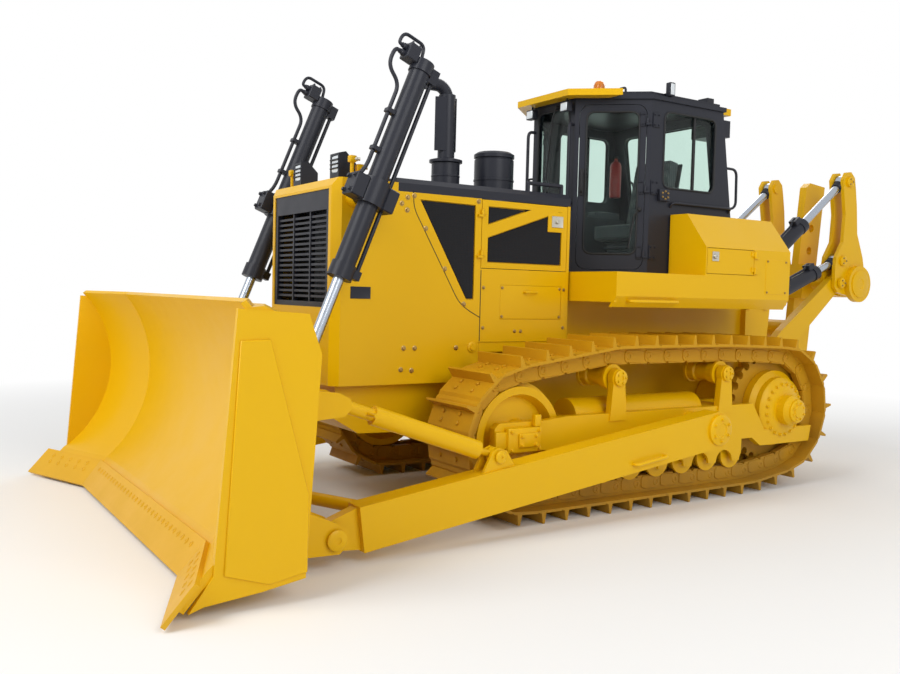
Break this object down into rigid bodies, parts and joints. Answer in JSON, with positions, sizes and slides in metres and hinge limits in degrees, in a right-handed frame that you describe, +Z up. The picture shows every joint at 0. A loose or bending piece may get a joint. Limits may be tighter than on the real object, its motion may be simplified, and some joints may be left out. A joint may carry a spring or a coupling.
{
  "type": "crawler dozer",
  "caption": "Large tracked earthmover with a curved semi-U blade on outside push arms, a glazed cab behind a long hood, and a parallel-link ripper at the rear.",
  "frame": {"origin": "On the ground, under the middle of the machine's length and on its centre line", "axes": "+X forward to the blade, +Y to the machine's left, +Z up; metres"},
  "size_m": [8.2919, 4.354, 3.723],
  "materials": {
    "yellow_paint": "gloss",
    "charcoal_paint": "satin",
    "track_paint": "semi-gloss, worn",
    "edge_steel": "semi-gloss, worn",
    "chrome_rod": "polished",
    "engine_iron": "as cast",
    "core_metal": "dull",
    "bearing_brass": "machined",
    "window_glass": "clear, tinted",
    "seat_cloth": "woven",
    "cab_plastic": "grained"
  },
  "bodies": {
    "tractor": {"main_frame": "yellow_paint", "engine_block": "engine_iron", "radiator": "core_metal", "radiator_guard": "yellow_paint", "grilles": "charcoal_paint", "hood": "charcoal_paint", "engine_sides": "yellow_paint", "exhaust_stack": "charcoal_paint", "precleaner": "charcoal_paint", "lamps": "charcoal_paint", "cab_shell": "charcoal_paint", "cab_roof": "charcoal_paint", "cab_glass": "window_glass", "cab_visors": "yellow_paint", "cab_seat": "seat_cloth", "cab_console": "cab_plastic", "cab_fittings": "charcoal_paint", "fenders": "yellow_paint", "toolbox": "yellow_paint", "tanks": "yellow_paint", "track_frames": "yellow_paint", "idlers": "yellow_paint", "sprockets": "track_paint", "final_drives": "yellow_paint", "track_rollers": "yellow_paint", "track_left": "track_paint", "track_right": "track_paint", "ripper_mount": "yellow_paint"},
    "trunnion_balls": {"trunnion_balls": "bearing_brass"},
    "blade": {"blade": "yellow_paint", "cutting_edge": "edge_steel"},
    "push_arm_left": {"push_arm_left": "yellow_paint"},
    "push_arm_right": {"push_arm_right": "yellow_paint"},
    "brace_left": {"brace_left": "yellow_paint"},
    "tilt_barrel": {"tilt_barrel": "charcoal_paint"},
    "tilt_rod": {"tilt_rod": "chrome_rod"},
    "lift_barrels": {"lift_barrels": "charcoal_paint"},
    "lift_rods": {"lift_rods": "chrome_rod"},
    "ripper_arm": {"ripper_arm": "yellow_paint"},
    "ripper_pins": {"ripper_pins": "yellow_paint"},
    "ripper_beam": {"ripper_beam": "yellow_paint", "ripper_shank": "yellow_paint"},
    "ripper_tilt_pins": {"ripper_tilt_pins": "yellow_paint"},
    "ripper_tilt_barrels": {"ripper_tilt_barrels": "charcoal_paint"},
    "ripper_tilt_rods": {"ripper_tilt_rods": "chrome_rod"},
    "ripper_lift_barrels": {"ripper_lift_barrels": "charcoal_paint"},
    "ripper_lift_rods": {"ripper_lift_rods": "chrome_rod"},
    "cab_door_left": {"cab_door_left": "charcoal_paint", "door_glass_left": "window_glass"},
    "cab_door_right": {"cab_door_right": "charcoal_paint", "door_glass_right": "window_glass"},
    "engine_door_left": {"engine_door_left": "yellow_paint"},
    "engine_door_right": {"engine_door_right": "yellow_paint"},
    "box_door": {"box_door": "yellow_paint"}
  },
  "joints": [
    {"name": "blade_lift", "type": "hinge", "parent": "tractor", "child": "trunnion_balls", "pos_m": [-0.56501, 0, 0.655], "axis": [0, -1, 0], "range_deg": [-7.4, 20]},
    {"name": "blade_tilt", "type": "hinge", "parent": "trunnion_balls", "child": "blade", "pos_m": [2.93299, 0, 0.191], "axis": [0.9024, -0.414, -0.1197], "range_deg": [-7, 7]},
    {"name": "arm_left_swing", "type": "hinge", "parent": "trunnion_balls", "child": "push_arm_left", "pos_m": [-0.56501, 1.535, 0.655], "axis": [0, -1, 0], "range_deg": [-2.78, 2.78]},
    {"name": "arm_right_swing", "type": "hinge", "parent": "trunnion_balls", "child": "push_arm_right", "pos_m": [-0.56501, -1.535, 0.655], "axis": [0, -1, 0], "range_deg": [-2.78, 2.78]},
    {"name": "brace_swing", "type": "hinge", "parent": "push_arm_left", "child": "brace_left", "pos_m": [1.65999, 1.535, 0.6], "axis": [0.3309, 0.0882, -0.9395], "range_deg": [-4.07, 4.07]},
    {"name": "tilt_barrel_swing", "type": "hinge", "parent": "push_arm_right", "child": "tilt_barrel", "pos_m": [1.65999, -1.535, 0.6], "axis": [0.3295, -0.3197, -0.8884], "range_deg": [-4.02, 4.02]},
    {"name": "tilt_rod_slide", "type": "slide", "parent": "tilt_barrel", "child": "tilt_rod", "axis": [0.9431, 0.0666, 0.3258], "range_m": [-0.08108, 0.08108]},
    {"name": "lift_barrel_swing", "type": "hinge", "parent": "tractor", "child": "lift_barrels", "pos_m": [2.31399, 0, 2.43], "axis": [0, -1, 0], "range_deg": [-6.3, 17.01]},
    {"name": "lift_rod_slide", "type": "slide", "parent": "lift_barrels", "child": "lift_rods", "axis": [0.3775, 0, -0.926], "range_m": [-1.17017, 0.43303]},
    {"name": "ripper_lift", "type": "hinge", "parent": "tractor", "child": "ripper_arm", "pos_m": [-2.29601, 0, 0.9], "axis": [0, -1, 0], "range_deg": [0, 58]},
    {"name": "ripper_level", "type": "hinge", "parent": "ripper_arm", "child": "ripper_pins", "pos_m": [-3.67601, 0, 1.945], "axis": [0, -1, 0], "range_deg": [-58.01, 0.01]},
    {"name": "ripper_pitch", "type": "hinge", "parent": "ripper_pins", "child": "ripper_beam", "pos_m": [-3.67601, 0, 1.945], "axis": [0, -1, 0], "range_deg": [-10, 10]},
    {"name": "ripper_tilt_swing", "type": "hinge", "parent": "tractor", "child": "ripper_tilt_pins", "pos_m": [-2.37601, 0, 2.015], "axis": [0, -1, 0], "range_deg": [-0.01, 58.01]},
    {"name": "ripper_tilt_lean", "type": "hinge", "parent": "ripper_tilt_pins", "child": "ripper_tilt_barrels", "pos_m": [-2.37601, 0, 2.015], "axis": [0, -1, 0], "range_deg": [-2.01, 2.01]},
    {"name": "ripper_tilt_slide", "type": "slide", "parent": "ripper_tilt_barrels", "child": "ripper_tilt_rods", "axis": [-0.7972, 0, 0.6037], "range_m": [-0.16591, 0.16591]},
    {"name": "ripper_lift_swing", "type": "hinge", "parent": "tractor", "child": "ripper_lift_barrels", "pos_m": [-2.41601, 0, 1.686], "axis": [0, -1, 0], "range_deg": [-0.01, 57.84]},
    {"name": "ripper_lift_slide", "type": "slide", "parent": "ripper_lift_barrels", "child": "ripper_lift_rods", "axis": [-0.9305, 0, 0.3664], "range_m": [-0.0001, 0.5275]},
    {"name": "cab_door_left_swing", "type": "hinge", "parent": "tractor", "child": "cab_door_left", "pos_m": [-0.49676, 0.73403, 2.7], "axis": [0, 0, 1], "range_deg": [0, 100]},
    {"name": "cab_door_right_swing", "type": "hinge", "parent": "tractor", "child": "cab_door_right", "pos_m": [-0.49676, -0.73403, 2.7], "axis": [0, 0, -1], "range_deg": [0, 100]},
    {"name": "engine_door_left_swing", "type": "hinge", "parent": "tractor", "child": "engine_door_left", "pos_m": [1.18899, 0.634, 2.2], "axis": [0, 0, -1], "range_deg": [0, 100]},
    {"name": "engine_door_right_swing", "type": "hinge", "parent": "tractor", "child": "engine_door_right", "pos_m": [1.18899, -0.634, 2.2], "axis": [0, 0, 1], "range_deg": [0, 100]},
    {"name": "box_door_swing", "type": "hinge", "parent": "tractor", "child": "box_door", "pos_m": [-1.43601, 1.214, 2.07], "axis": [0, 0, 1], "range_deg": [0, 95]}
  ],
  "couplings": [
    {"joint": "arm_left_swing", "follows": "blade_tilt", "ratio": 0.39598},
    {"joint": "arm_right_swing", "follows": "blade_tilt", "ratio": -0.39598},
    {"joint": "brace_swing", "follows": "blade_tilt", "ratio": 0.58021},
    {"joint": "tilt_barrel_swing", "follows": "blade_tilt", "ratio": 0.57352},
    {"joint": "tilt_rod_slide", "follows": "blade_tilt", "m_per_rad": -0.66284},
    {"joint": "lift_barrel_swing", "follows": "blade_lift", "ratio": 0.85},
    {"joint": "lift_rod_slide", "follows": "blade_lift", "m_per_rad": -3.352},
    {"joint": "ripper_level", "follows": "ripper_lift", "ratio": -1},
    {"joint": "ripper_tilt_swing", "follows": "ripper_lift", "ratio": 1},
    {"joint": "ripper_lift_swing", "follows": "ripper_lift", "ratio": 0.997},
    {"joint": "ripper_lift_slide", "follows": "ripper_lift", "m_per_rad": 0.521},
    {"joint": "ripper_tilt_lean", "follows": "ripper_pitch", "ratio": 0.2},
    {"joint": "ripper_tilt_slide", "follows": "ripper_pitch", "m_per_rad": 0.95}
  ]
}
